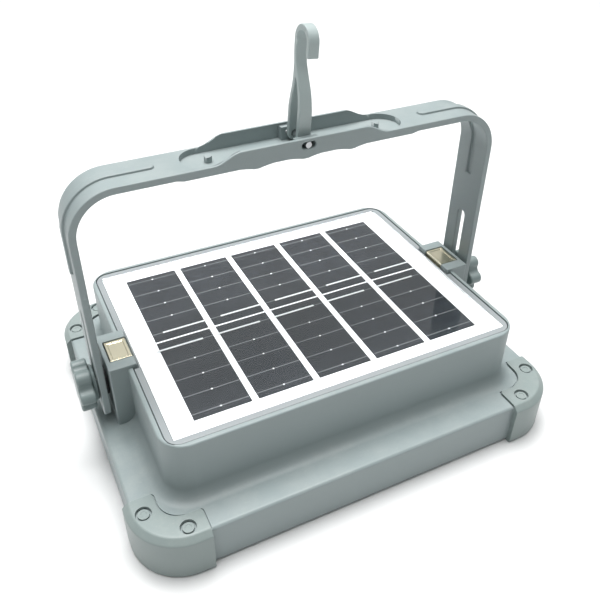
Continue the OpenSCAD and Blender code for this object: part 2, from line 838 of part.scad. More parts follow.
// Outline of the grip's underside, with its finger ridges
module grip_under() {
    end = trough_c + trough_r + 2;
    polygon([[-end - 8, strap_low + 1], [-end, grip_low], [end, grip_low], [end + 8, strap_low + 1]]);
    difference() {
        translate([-1.5*finger_pitch, grip_low - finger_h]) square([3*finger_pitch, finger_h + 1]);
        for (i = [-1.5:1.5]) translate([i*finger_pitch, grip_low - finger_h + scallop_s - scallop_r])
            circle(scallop_r, $fn = 240);
    }
}

// Side outline of the arms, with round lower corners, in Y and Z
module arm_side() {
    low = pivot_z - arm_tail;
    translate([-strap_w/2, low + tail_r]) square([strap_w, big]);
    translate([-strap_w/2 + tail_r, low]) square([strap_w - 2*tail_r, big]);
    for (y = [-1, 1]) translate([y*(strap_w/2 - tail_r), low + tail_r]) circle(tail_r);
}

module arm_slots() {
    translate([0, 0, pivot_z + (slot_up - slot_down)/2])
        rotate([90, 0, 90]) linear_extrude(2*arm_out + 20, center = true) rotate(90)
            stadium(slot_up + slot_down - slot_w, slot_w/2);
}

module handle() {
    color([0.53, 0.58, 0.59]) difference() {
        union() {
            intersection() {
                slab_y(strap_w) bail_band(0, -strap_t);
                slab_x(2*big) arm_side();
            }
            rib_band(rib_h, -1, rib_w);
            slab_y(strap_w) {
                grip_walls();
                grip_under();
            }
        }
        difference() {
            translate([0, 0, floor_z]) linear_extrude(30) stadium(2*trough_c, trough_r);
            for (x = [-1, 1]) translate([x*post_x, 0, floor_z - 1]) cylinder(h = post_h + 1, r = post_r);
            for (y = [-1, 1]) translate([slot_x, y*(leg_out + gap + 5), floor_z])
                cube([2*pad_x, 10, 2*(wall_top - 0.8 - floor_z)], center = true);
        }
        translate([slot_x, 0, pin_z]) slab_y(strap_w + 2) stadium(2*slot_travel, pin_r + slack);
        slab_y(groove_w) intersection() {
            bail_band(-strap_t + groove_d, -strap_t - 1);
            rib_zone();
        }
        arm_slots();
    }
}

// ---------- hook ----------

module hook_pin() {
    color([0.75, 0.76, 0.78]) translate([slot_x, 0, pin_z])
        bar_y(-strap_w/2 + 0.3, strap_w/2 - 0.3, pin_r);
}

// Middle of a leg's strip, side -1 or 1, at height h above the pin:
// parallel legs that close into one stem, which then swings over to the curl
stem_y = curl_y + curl_r - hook_t/2;
leg_y = leg_out - hook_t/2;
legs_end = 12;
stem_start = 38;
swing_start = 20;
function leg_mid(side, h) =
    side*leg_y*(1 - ease((h - legs_end)/(stem_start - legs_end)))
    + stem_y*ease((h - swing_start)/(hook_l - 3 - swing_start));
function leg_line(side, edge, from, to, n) =
    [for (i = [0:n]) let (h = from + (to - from)*i/n) [leg_mid(side, h) + edge*hook_t/2, pin_z + h]];
function turned(list) = [for (i = [len(list) - 1:-1:0]) list[i]];
// Height at which the two legs have closed up to a narrow gap
legs_closed = 1 - (hook_t + 0.5)/(2*leg_y);
fork_top = legs_end + (stem_start - legs_end)*acos(1 - 2*legs_closed)/180;

// Outline of the hook in Y and Z: forked stem, curl and tip
module hook_outline() {
    difference() {
        polygon(concat(leg_line(-1, -1, -4, hook_l, 26), turned(leg_line(1, 1, -4, hook_l, 26))));
        polygon(concat(leg_line(-1, 1, -5, fork_top, 16), turned(leg_line(1, -1, -5, fork_top, 16))));
    }
    translate([curl_y, curl_z]) difference() {
        circle(curl_r);
        circle(curl_r - hook_t);
        translate([-20, -40]) square([40, 40]);
    }
    translate([curl_y - curl_r, curl_z - tip_l]) square([hook_t, tip_l + eps]);
}

module hook() {
    color([0.50, 0.56, 0.57]) translate([slot_x, 0, pin_z]) rotate([0, hook_lean, 0]) difference() {
        translate([0, 0, -pin_z]) intersection() {
            slab_x(hook_w) hook_outline();
            slab_y(60) {
                translate([-hook_w/2, pin_z]) square([hook_w, 100]);
                translate([0, pin_z]) circle(hook_w/2);
            }
        }
        bar_y(-20, 20, pin_r + fit);
    }
}

rear_housing();
front_frame();
lens_cover();
lens_gasket();
reflector_tray();
led_board();
led_chips();
case_screws();
panel_bezel();
panel_backsheet();
solar_cells();
cell_ribbons();
panel_cover();
bumper(-1, -1);  // bumper_front_left
bumper(1, -1);  // bumper_front_right
bumper(-1, 1);  // bumper_back_left
bumper(1, 1);  // bumper_back_right
bumper_screws();
magnet(-1);  // magnet_left
magnet(1);  // magnet_right
magnet_cup(-1);  // magnet_cup_left
magnet_cup(1);  // magnet_cup_right
battery_cells();
battery_cradle();
nickel_strips();
control_board();
board_components();
board_screws();
usb_ports();
tact_switch();
charge_lights();
panel_lead();
led_lead();
battery_lead();
power_button();
port_cover();
pivot_nut(-1);  // pivot_nut_left
pivot_nut(1);  // pivot_nut_right
pivot_bush(-1);  // pivot_bush_left
pivot_bush(1);  // pivot_bush_right
handle();
hook_pin();
hook();
knob(-1);  // knob_left
knob(1);  // knob_right
knob_bolt(-1);  // knob_bolt_left
knob_bolt(1);  // knob_bolt_right
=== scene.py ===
"""Looks of the solar flood light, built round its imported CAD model."""

import json
import math

import bmesh
import bpy
from mathutils import Matrix, Vector

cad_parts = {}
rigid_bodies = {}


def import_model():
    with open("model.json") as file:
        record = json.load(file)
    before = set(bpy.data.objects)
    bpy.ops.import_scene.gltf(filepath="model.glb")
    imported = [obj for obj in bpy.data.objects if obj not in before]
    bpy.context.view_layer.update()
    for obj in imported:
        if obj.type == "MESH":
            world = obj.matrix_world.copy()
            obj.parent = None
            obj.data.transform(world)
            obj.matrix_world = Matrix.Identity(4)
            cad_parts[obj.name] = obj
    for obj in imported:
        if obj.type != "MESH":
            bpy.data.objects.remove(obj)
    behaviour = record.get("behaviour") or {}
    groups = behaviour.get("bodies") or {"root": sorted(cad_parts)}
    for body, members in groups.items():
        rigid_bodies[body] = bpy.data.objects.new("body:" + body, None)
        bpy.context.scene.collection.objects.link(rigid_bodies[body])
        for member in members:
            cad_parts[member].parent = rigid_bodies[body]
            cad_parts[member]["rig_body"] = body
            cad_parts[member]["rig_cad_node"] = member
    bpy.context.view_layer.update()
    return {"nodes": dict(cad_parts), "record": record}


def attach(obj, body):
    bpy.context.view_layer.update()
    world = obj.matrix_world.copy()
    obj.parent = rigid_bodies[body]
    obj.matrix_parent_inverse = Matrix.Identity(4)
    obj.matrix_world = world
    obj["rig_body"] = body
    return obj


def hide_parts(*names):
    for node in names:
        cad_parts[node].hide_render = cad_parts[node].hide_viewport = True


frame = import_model()
nodes = frame["nodes"]
MM = 0.001
scene = bpy.context.scene

# ---------- camera, lights and stage ----------

CAMERA_AT = Vector((-0.13733, -0.27929, 0.30152))
CAMERA_TURN = math.radians(-26.16)
CAMERA_DOWN = math.radians(35.51)
CAMERA_ROLL = math.radians(0.43)
CAMERA_LENS = 41.99
CAMERA_SHIFT = (0.0098, -0.0418)


def place_camera():
    """The camera looks down on the light from its front left corner."""
    data = bpy.data.cameras.new("camera")
    camera = bpy.data.objects.new("camera", data)
    scene.collection.objects.link(camera)
    data.sensor_width = 36
    data.lens = CAMERA_LENS
    data.shift_x, data.shift_y = CAMERA_SHIFT
    data.clip_start = 0.01
    back = Vector((
        math.sin(CAMERA_TURN) * math.cos(CAMERA_DOWN),
        -math.cos(CAMERA_TURN) * math.cos(CAMERA_DOWN),
        math.sin(CAMERA_DOWN),
    ))
    level = Vector((math.cos(CAMERA_TURN), math.sin(CAMERA_TURN), 0))
    rise = back.cross(level)
    right = level * math.cos(CAMERA_ROLL) + rise * math.sin(CAMERA_ROLL)
    up = rise * math.cos(CAMERA_ROLL) - level * math.sin(CAMERA_ROLL)
    turn = Matrix((right, up, back)).transposed()
    camera.matrix_world = Matrix.Translation(CAMERA_AT) @ turn.to_4x4()
    scene.camera = camera


def area_light(name, place, aim, size, power):
    data = bpy.data.lights.new(name, "AREA")
    data.shape = "RECTANGLE"
    data.size, data.size_y = size
    data.energy = power
    lamp = bpy.data.objects.new(name, data)
    scene.collection.objects.link(lamp)
    lamp.location = place
    lamp.rotation_euler = (Vector(aim) - Vector(place)).to_track_quat("-Z", "Y").to_euler()


# A bright room above and behind the light, dimmer in front of it
SKY_TINT = (0.97, 1.0, 1.0, 1)
BRIGHT_SIDE = (0.0, 0.2, 1.0)
SKY_DIM, SKY_BRIGHT = 0.05, 0.75
SKY_FROM, SKY_TO = 0.1, 1.0
SKY_SEEN = 0.78
SOFTBOX_AT, SOFTBOX_AIM = (0.05, 0.3, 1.45), (0, 0, 0.05)
SOFTBOX_SIZE, SOFTBOX_POWER = (0.8, 0.8), 19
CEILING_POWER, CEILING_ANGLE = 1.4, math.radians(50)


def soft_studio():
    scene.view_settings.view_transform = "Standard"
    scene.view_settings.look = "None"
    world = bpy.data.worlds.new("studio")
    scene.world = world
    world.use_nodes = True
    tree = world.node_tree
    sky = tree.nodes["Background"]
    sky.inputs["Color"].default_value = SKY_TINT
    slope = tree.nodes.new("ShaderNodeVectorMath")
    slope.operation = "DOT_PRODUCT"
    slope.inputs[1].default_value = Vector(BRIGHT_SIDE).normalized()
    tree.links.new(tree.nodes.new("ShaderNodeTexCoord").outputs["Generated"], slope.inputs[0])
    glow = tree.nodes.new("ShaderNodeMapRange")
    glow.interpolation_type = "SMOOTHSTEP"
    tree.links.new(slope.outputs["Value"], glow.inputs["Value"])
    for socket, value in zip(glow.inputs[1:5], (SKY_FROM, SKY_TO, SKY_DIM, SKY_BRIGHT)):
        socket.default_value = value
    seen = tree.nodes.new("ShaderNodeMix")
    tree.links.new(tree.nodes.new("ShaderNodeLightPath").outputs["Is Camera Ray"], seen.inputs[0])
    tree.links.new(glow.outputs[0], seen.inputs[2])
    seen.inputs[3].default_value = SKY_SEEN
    tree.links.new(seen.outputs[0], sky.inputs["Strength"])
    area_light("overhead_softbox", SOFTBOX_AT, SOFTBOX_AIM, SOFTBOX_SIZE, SOFTBOX_POWER)
    ceiling = bpy.data.lights.new("bright_ceiling", "SUN")
    ceiling.energy = CEILING_POWER
    ceiling.angle = CEILING_ANGLE
    scene.collection.objects.link(bpy.data.objects.new("bright_ceiling", ceiling))


place_camera()
soft_studio()

# ---------- modelling helpers ----------


def activate(piece):
    bpy.ops.object.select_all(action="DESELECT")
    piece.select_set(True)
    bpy.context.view_layer.objects.active = piece


def settle(piece):
    """Puts the piece's place, turn and size into its mesh."""
    activate(piece)
    bpy.ops.object.transform_apply(location=True, rotation=True, scale=True)
    return piece


def block(name, low, high):
    """A box from its lowest to its highest corner, in millimetres."""
    bpy.ops.object.select_all(action="DESELECT")
    middle = [(a + b) / 2 * MM for a, b in zip(low, high)]
    size = [(b - a) * MM for a, b in zip(low, high)]
    bpy.ops.mesh.primitive_cube_add(size=1, location=middle, scale=size)
    piece = bpy.context.object
    piece.name = name
    return settle(piece)


def rod(name, radius, start, length, axis="z", sides=48):
    """A round bar from a start point along an axis, in millimetres."""
    bpy.ops.object.select_all(action="DESELECT")
    along = {"x": Vector((1, 0, 0)), "y": Vector((0, 1, 0)), "z": Vector((0, 0, 1))}[axis]
    turn = {"x": (0, math.pi / 2, 0), "y": (math.pi / 2, 0, 0), "z": (0, 0, 0)}[axis]
    bpy.ops.mesh.primitive_cylinder_add(
        vertices=sides,
        radius=radius * MM,
        depth=abs(length) * MM,
        location=(Vector(start) + along * length / 2) * MM,
        rotation=turn,
    )
    piece = bpy.context.object
    piece.name = name
    return settle(piece)


def pick(piece, test):
    """Opens the piece in edit mode with just the edges that pass the test selected."""
    activate(piece)
    bpy.ops.object.mode_set(mode="EDIT")
    bpy.ops.mesh.select_mode(type="EDGE")
    bpy.ops.mesh.select_all(action="DESELECT")
    bm = bmesh.from_edit_mesh(piece.data)
    found = 0
    for edge in bm.edges:
        a, b = (v.co / MM for v in edge.verts)
        if test(a, b, edge):
            edge.select = True
            found += 1
    bm.select_flush_mode()
    bmesh.update_edit_mesh(piece.data)
    return found


def soften(piece, radius, steps, test, clamp=True):
    """Rounds the edges that pass the test."""
    if pick(piece, test):
        bpy.ops.mesh.bevel(
            offset=radius * MM,
            offset_type="OFFSET",
            segments=steps,
            clamp_overlap=clamp,
            miter_outer="SHARP",
        )
    bpy.ops.object.mode_set(mode="OBJECT")
    return piece


def upright(a, b, edge):
    return (a.xy - b.xy).length < 0.01


def bend(edge):
    """Angle between the two faces of an edge, or none at a loose edge."""
    return edge.calc_face_angle(0) if len(edge.link_faces) == 2 else 0


def level_at(height, sharp=30):
    return lambda a, b, e: (
        abs(a.z - height) < 0.02
        and abs(b.z - height) < 0.02
        and bend(e) > math.radians(sharp)
    )


def slab(name, half_x, half_y, low, high, corner, steps=12):
    """A rounded block centred on the light."""
    piece = block(name, (-half_x, -half_y, low), (half_x, half_y, high))
    return soften(piece, corner, steps, upright)


def join(piece, tool, how):
    """Adds, cuts or keeps what the tool covers, then drops the tool."""
    activate(piece)
    step = piece.modifiers.new(how.lower(), "BOOLEAN")
    step.operation = how
    step.solver = "EXACT"
    step.object = tool
    bpy.ops.object.modifier_apply(modifier=step.name)
    bpy.data.objects.remove(tool)
    return piece


def tidy_faces(piece, flat=1.0):
    """Merges doubles and the flat faces that a cut leaves in strips."""
    activate(piece)
    bpy.ops.object.mode_set(mode="EDIT")
    bpy.ops.mesh.select_all(action="SELECT")
    bpy.ops.mesh.remove_doubles(threshold=0.02 * MM)
    bpy.ops.mesh.dissolve_limited(angle_limit=math.radians(flat))
    bpy.ops.object.mode_set(mode="OBJECT")
    return piece


def twin(piece, name, mirror=(False, False, False)):
    """A copy with its own mesh, mirrored about the light's middle."""
    copy = piece.copy()
    copy.data = piece.data.copy()
    copy.name = name
    scene.collection.objects.link(copy)
    if any(mirror):
        copy.scale = [-1 if m else 1 for m in mirror]
        settle(copy)
        if sum(mirror) % 2:
            bpy.ops.object.mode_set(mode="EDIT")
            bpy.ops.mesh.select_all(action="SELECT")
            bpy.ops.mesh.normals_make_consistent(inside=False)
            bpy.ops.object.mode_set(mode="OBJECT")
    return copy


def from_cad(node, name):
    """A merged copy of a CAD node, ready to be reshaped."""
    copy = nodes[node].copy()
    copy.data = nodes[node].data.copy()
    copy.parent = None
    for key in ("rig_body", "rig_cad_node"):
        if key in copy:
            del copy[key]
    copy.name = name
    copy.data.materials.clear()
    scene.collection.objects.link(copy)
    return tidy_faces(copy)


def worth_rounding(a, b, edge):
    """A sharp edge that isn't a sliver."""
    return bend(edge) > math.radians(35) and (a - b).length > 0.05


def softened(node, name, radius, steps):
    """A copy of a CAD node with its sharp edges rounded."""
    return soften(from_cad(node, name), radius, steps, worth_rounding, clamp=False)


SMOOTH_BELOW = math.radians(32)


def finish_piece(piece, material, body, slot, *replaced):
    """Smooth shading, material, body and the CAD nodes that the piece stands for; the slot argument is not
    used.
    """
    activate(piece)
    bpy.ops.object.shade_smooth_by_angle(angle=SMOOTH_BELOW)
    even = piece.modifiers.new("even_shading", "WEIGHTED_NORMAL")
    even.keep_sharp = True
    bpy.ops.object.modifier_apply(modifier=even.name)
    piece.data.materials.clear()
    piece.data.materials.append(material)
    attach(piece, body)
    if replaced:
        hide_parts(*replaced)
    return piece


# ---------- shader groups ----------


class Group:
    """A shader node group with named sockets."""

    def __init__(self, name, inputs, outputs):
        self.tree = bpy.data.node_groups.new(name, "ShaderNodeTree")
        for label, kind, value in inputs:
            socket = self.tree.interface.new_socket(label, in_out="INPUT", socket_type=kind)
            if value is not None:
                socket.default_value = value
        for label, kind in outputs:
            self.tree.interface.new_socket(label, in_out="OUTPUT", socket_type=kind)
        self.source = self.tree.nodes.new("NodeGroupInput")
        self.sink = self.tree.nodes.new("NodeGroupOutput")
        self.work = Nodes(self.tree)

    def value(self, label):
        return self.source.outputs[label]

    def give(self, label, socket):
        self.tree.links.new(socket, self.sink.inputs[label])


class Nodes:
    """Short ways to add and link shader nodes in one tree."""

    def __init__(self, tree):
        self.tree = tree

    def add(self, kind, **settings):
        node = self.tree.nodes.new("ShaderNode" + kind)
        for key, value in settings.items():
            setattr(node, key, value)
        return node

    def put(self, socket, value):
        if isinstance(value, bpy.types.NodeSocket):
            self.tree.links.new(value, socket)
        else:
            socket.default_value = value

    def math(self, operation, *values, clamp=False):
        node = self.add("Math", operation=operation, use_clamp=clamp)
        for socket, value in zip(node.inputs, values):
            self.put(socket, value)
        return node.outputs[0]

    def mix(self, factor, a, b):
        node = self.add("Mix", data_type="RGBA")
        self.put(node.inputs[0], factor)
        self.put(node.inputs[6], a)
        self.put(node.inputs[7], b)
        return node.outputs[2]

    def band(self, value, low, high, a=0.0, b=1.0):
        """Value taken from low..high to a..b, with smooth ends."""
        node = self.add("MapRange", interpolation_type="SMOOTHSTEP")
        for socket, item in zip(node.inputs, (value, low, high, a, b)):
            self.put(socket, item)
        return node.outputs[0]

    def place(self):
        return self.add("TexCoord").outputs["Object"]

    def noise(self, vector, scale, detail=3.0, rough=0.55):
        node = self.add("TexNoise")
        self.put(node.inputs["Vector"], vector)
        self.put(node.inputs["Scale"], scale)
        self.put(node.inputs["Detail"], detail)
        self.put(node.inputs["Roughness"], rough)
        return node.outputs["Fac"]

    def parts(self, vector):
        node = self.add("SeparateXYZ")
        self.put(node.inputs[0], vector)
        return node.outputs

    def group(self, group, **values):
        node = self.add("Group")
        node.node_tree = group.tree
        for label, value in values.items():
            self.put(node.inputs[label.replace("_", " ")], value)
        return node.outputs


def make_grain():
    """Moulded surface: fine grain, faint mottling of colour and gloss."""
    g = Group("moulded_grain",
              [("Colour", "NodeSocketColor", (0.5, 0.5, 0.5, 1)),
               ("Grain", "NodeSocketFloat", 2600.0),
               ("Mottle", "NodeSocketFloat", 0.06),
               ("Gloss", "NodeSocketFloat", 0.45)],
              [("Colour", "NodeSocketColor"),
               ("Roughness", "NodeSocketFloat"),
               ("Height", "NodeSocketFloat")])
    n = g.work
    place = n.place()
    fine = n.noise(place, g.value("Grain"), 2.0, 0.6)
    cloud = n.noise(place, 38.0, 4.0, 0.6)
    drift = n.noise(place, 9.0, 2.0, 0.5)
    tone = n.math("ADD", n.math("MULTIPLY", n.math("SUBTRACT", cloud, 0.5), 0.8),
                  n.math("SUBTRACT", drift, 0.5))
    speck = n.math("MULTIPLY", n.math("SUBTRACT", fine, 0.5), 0.5)
    shade = n.math("MULTIPLY_ADD", n.math("ADD", tone, speck), g.value("Mottle"), 1.0)
    scaled = n.add("VectorMath", operation="SCALE")
    n.put(scaled.inputs[0], g.value("Colour"))
    n.put(scaled.inputs["Scale"], shade)
    g.give("Colour", scaled.outputs[0])
    rough = n.math("MULTIPLY_ADD", n.math("ADD", tone, speck), 0.16, g.value("Gloss"), clamp=True)
    g.give("Roughness", rough)
    g.give("Height", fine)
    return g


def make_wear_and_highlight():
    """Edges rubbed paler and smoother, which also paints a highlight along them; broken up so that it isn't
    even.
    """
    g = Group("rubbed_and_highlit_edges",
              [("Width", "NodeSocketFloat", 0.0007), ("Amount", "NodeSocketFloat", 0.5)],
              [("Mask", "NodeSocketFloat")])
    n = g.work
    edge = n.add("Bevel", samples=4)
    n.put(edge.inputs["Radius"], g.value("Width"))
    flat = n.add("NewGeometry").outputs["Normal"]
    dot = n.add("VectorMath", operation="DOT_PRODUCT")
    n.put(dot.inputs[0], edge.outputs[0])
    n.put(dot.inputs[1], flat)
    sharp = n.band(dot.outputs["Value"], 0.995, 0.86, 0.0, 1.0)
    patch = n.band(n.noise(n.place(), 160.0, 4.0, 0.65), 0.38, 0.62, 0.35, 1.0)
    g.give("Mask", n.math("MULTIPLY", n.math("MULTIPLY", sharp, patch), g.value("Amount"), clamp=True))
    return g


def make_dust():
    """Fine dust that lies thicker on faces that look up."""
    g = Group("settled_dust", [("Amount", "NodeSocketFloat", 0.3)], [("Mask", "NodeSocketFloat")])
    n = g.work
    up = n.parts(n.add("NewGeometry").outputs["Normal"])[2]
    top = n.band(up, 0.25, 0.95)
    cloud = n.band(n.noise(n.place(), 55.0, 5.0, 0.7), 0.35, 0.75)
    motes = n.band(n.noise(n.place(), 900.0, 1.0, 0.5), 0.66, 0.74, 0.0, 0.5)
    soil = n.math("ADD", cloud, motes)
    g.give("Mask", n.math("MULTIPLY", n.math("MULTIPLY", top, soil), g.value("Amount"), clamp=True))
    return g


def make_scratches():
    """Hairline scratches in two crossing directions."""
    g = Group("hairlines",
              [("Density", "NodeSocketFloat", 90.0), ("Amount", "NodeSocketFloat", 0.3)],
              [("Mask", "NodeSocketFloat")])
    n = g.work
    total = None
    for angle, stretch in ((0.5, 34.0), (-1.0, 26.0)):
        turned = n.add("Mapping")
        n.put(turned.inputs["Vector"], n.place())
        turned.inputs["Rotation"].default_value = (0.2, 0.3, angle)
        turned.inputs["Scale"].default_value = (1, stretch, stretch)
        thin = n.noise(turned.outputs[0], g.value("Density"), 2.0, 0.5)
        line = n.band(thin, 0.68, 0.74)
        total = line if total is None else n.math("MAXIMUM", total, line)
    g.give("Mask", n.math("MULTIPLY", total, g.value("Amount"), clamp=True))
    return g


grain = make_grain()
wear_and_highlight = make_wear_and_highlight()
dust = make_dust()
hairlines = make_scratches()

# ---------- materials ----------


def new_material(name):
    material = bpy.data.materials.new(name)
    material.use_nodes = True
    tree = material.node_tree
    tree.nodes.clear()
    n = Nodes(tree)
    surface = n.add("BsdfPrincipled")
    sink = n.add("OutputMaterial")
    tree.links.new(surface.outputs[0], sink.inputs["Surface"])
    return material, n, surface


def lift(n, surface, height, distance):
    bump = n.add("Bump")
    bump.inputs["Distance"].default_value = distance
    bump.inputs["Strength"].default_value = 1.0
    n.put(bump.inputs["Height"], height)
    n.put(surface.inputs["Normal"], bump.outputs[0])


def plastic(name, colour, gloss=0.42, mottle=0.07, depth=0.00002, edge_wear_and_highlight=0.35, dusty=0.12,
            pale=1.35, level=0.5, grain_size=2600.0):
    """Moulded plastic with grain, rubbed edges that are also painted paler as an edge highlight, and a trace
    of dust.
    """
    material, n, surface = new_material(name)
    skin = n.group(grain, Colour=(*colour, 1), Grain=grain_size, Mottle=mottle, Gloss=gloss)
    edge = n.group(wear_and_highlight, Width=0.0006, Amount=edge_wear_and_highlight)["Mask"]
    film = n.group(dust, Amount=dusty)["Mask"]
    # Paler edges: part wear, part a painted highlight along the edges.
    light = [min(c * pale, 1) for c in colour] + [1]
    worn_and_highlit_colour = n.mix(edge, skin["Colour"], light)
    n.put(surface.inputs["Base Color"], n.mix(film, worn_and_highlit_colour, (0.62, 0.61, 0.58, 1)))
    rough = n.math("MULTIPLY_ADD", edge, -0.1, skin["Roughness"])
    n.put(surface.inputs["Roughness"], n.math("MULTIPLY_ADD", film, 0.4, rough, clamp=True))
    surface.inputs["Specular IOR Level"].default_value = level
    lift(n, surface, skin["Height"], depth)
    return material


def metal(name, colour, gloss=0.3, brushed=0.0, scratch=0.25, tarnish=0.15, metallic=1.0):
    """Plated or machined metal with hairlines and faint tarnish."""
    material, n, surface = new_material(name)
    skin = n.group(grain, Colour=(*colour, 1), Grain=1500.0, Mottle=0.1, Gloss=gloss)
    line = n.group(hairlines, Density=150.0, Amount=scratch)["Mask"]
    stain = n.band(n.noise(n.place(), 120.0, 4.0, 0.7), 0.45, 0.8, 0.0, tarnish)
    dull = [c * 0.55 for c in colour] + [1]
    n.put(surface.inputs["Base Color"], n.mix(stain, skin["Colour"], dull))
    rough = n.math("MULTIPLY_ADD", stain, 1.2, skin["Roughness"])
    n.put(surface.inputs["Roughness"], n.math("MULTIPLY_ADD", line, 0.5, rough, clamp=True))
    surface.inputs["Metallic"].default_value = metallic
    surface.inputs["Anisotropic"].default_value = brushed
    lift(n, surface, n.math("SUBTRACT", skin["Height"], line), 0.000008)
    return material


def pane(name, tint, rough, ior=1.49):
    """Clear plastic that lets the lamps' light through to what it covers."""
    material, n, surface = new_material(name)
    n.put(surface.inputs["Base Color"], (*tint, 1))
    surface.inputs["Transmission Weight"].default_value = 1.0
    surface.inputs["IOR"].default_value = ior
    film = n.group(hairlines, Density=60.0, Amount=0.12)["Mask"]
    smear = n.band(n.noise(n.place(), 30.0, 4.0, 0.6), 0.45, 0.75, 0.0, 0.05)
    n.put(surface.inputs["Roughness"],
          n.math("ADD", n.math("ADD", film, smear), rough, clamp=True))
    clear = n.add("BsdfTransparent")
    clear.inputs[0].default_value = (0.95, 0.96, 0.96, 1)
    shadow = n.add("LightPath").outputs["Is Shadow Ray"]
    both = n.add("MixShader")
    n.put(both.inputs[0], shadow)
    n.tree.links.new(surface.outputs[0], both.inputs[1])
    n.tree.links.new(clear.outputs[0], both.inputs[2])
    sink = next(x for x in n.tree.nodes if x.type == "OUTPUT_MATERIAL")
    n.tree.links.new(both.outputs[0], sink.inputs["Surface"])
    return material


# Solar cells: places along X and Y in metres
COLUMN_STEP = 0.0327
COLUMN_W = 0.0292
CELL_EDGE = 0.0800
BAR_STEP = 0.0123
BAR_START = 0.00675
FINGER_STEP = 0.00092
# Solder marks: distance left of the middle, then the half width and half length of one
MARK_LEFT, MARK_X, MARK_Y = 0.0846, 0.0016, 0.0009


def repeat(n, value, step, start):
    """Distance from the nearest of a row of lines, in metres."""
    shifted = n.math("ADD", n.math("SUBTRACT", value, start), step / 2)
    return n.math("ABSOLUTE", n.math("SUBTRACT", n.math("WRAP", shifted, step, 0.0), step / 2))


def silicon_cells():
    """Dark cells with fine fingers, busbars and a bright pad half way along each bar."""
    material, n, surface = new_material("silicon_cells")
    x, y = n.parts(n.place())[:2]
    far = n.math("ABSOLUTE", y)
    finger = n.band(repeat(n, x, FINGER_STEP, 0.0), 0.00016, 0.00006)
    bar = n.band(repeat(n, far, BAR_STEP, BAR_START), 0.00026, 0.00014)
    middle = repeat(n, x, COLUMN_STEP, -CELL_EDGE + COLUMN_W / 2)
    pad = n.math("MULTIPLY", n.band(middle, 0.00055, 0.0003),
                 n.band(repeat(n, far, BAR_STEP, BAR_START), 0.0005, 0.0003))
    cloud = n.noise(n.place(), 70.0, 3.0, 0.6)
    column = n.math("FLOOR", n.math("DIVIDE", n.math("ADD", x, CELL_EDGE), COLUMN_STEP))
    tone = n.math("MULTIPLY_ADD", n.math("SINE", n.math("MULTIPLY", column, 2.3)), 0.12,
                  n.math("MULTIPLY_ADD", cloud, 0.3, 0.85))
    base = n.add("VectorMath", operation="SCALE")
    base.inputs[0].default_value = (0.0075, 0.0098, 0.0135)
    n.put(base.inputs["Scale"], tone)
    colour = n.mix(n.math("MULTIPLY", finger, 0.3), base.outputs[0], (0.05, 0.06, 0.065, 1))
    colour = n.mix(n.math("MULTIPLY", bar, 0.55), colour, (0.34, 0.36, 0.37, 1))
    colour = n.mix(pad, colour, (0.85, 0.86, 0.86, 1))
    n.put(surface.inputs["Base Color"], colour)
    rough = n.math("MULTIPLY_ADD", finger, 0.15, n.math("MULTIPLY_ADD", cloud, 0.1, 0.28))
    n.put(surface.inputs["Roughness"], rough)
    surface.inputs["Specular IOR Level"].default_value = 0.2
    lift(n, surface, bar, 0.00002)
    return material


def white_laminate():
    """White backing sheet with two faint grey solder marks in the left margin."""
    material, n, surface = new_material("white_laminate")
    skin = n.group(grain, Colour=(0.86, 0.875, 0.885, 1), Grain=1800.0, Mottle=0.03, Gloss=0.35)
    x, y = n.parts(n.place())[:2]
    across = n.math("DIVIDE", n.math("ADD", x, MARK_LEFT), MARK_X)
    along = n.math("DIVIDE", n.math("SUBTRACT", n.math("ABSOLUTE", y), BAR_START), MARK_Y)
    squares = [n.math("MULTIPLY", side, side) for side in (across, along)]
    blot = n.math("SQRT", n.math("ADD", *squares))
    mark = n.band(blot, 1.2, 0.4, 0.0, 0.55)
    n.put(surface.inputs["Base Color"], n.mix(mark, skin["Colour"], (0.42, 0.47, 0.5, 1)))
    n.put(surface.inputs["Roughness"], skin["Roughness"])
    lift(n, surface, skin["Height"], 0.000005)
    return material


def phosphor():
    material, n, surface = new_material("led_phosphor")
    skin = n.group(grain, Colour=(0.86, 0.66, 0.12, 1), Grain=6000.0, Mottle=0.2, Gloss=0.4)
    n.put(surface.inputs["Base Color"], skin["Colour"])
    n.put(surface.inputs["Roughness"], skin["Roughness"])
    surface.inputs["Subsurface Weight"].default_value = 0.2
    surface.inputs["Subsurface Radius"].default_value = (0.001, 0.0008, 0.0003)
    lift(n, surface, skin["Height"], 0.00002)
    return material


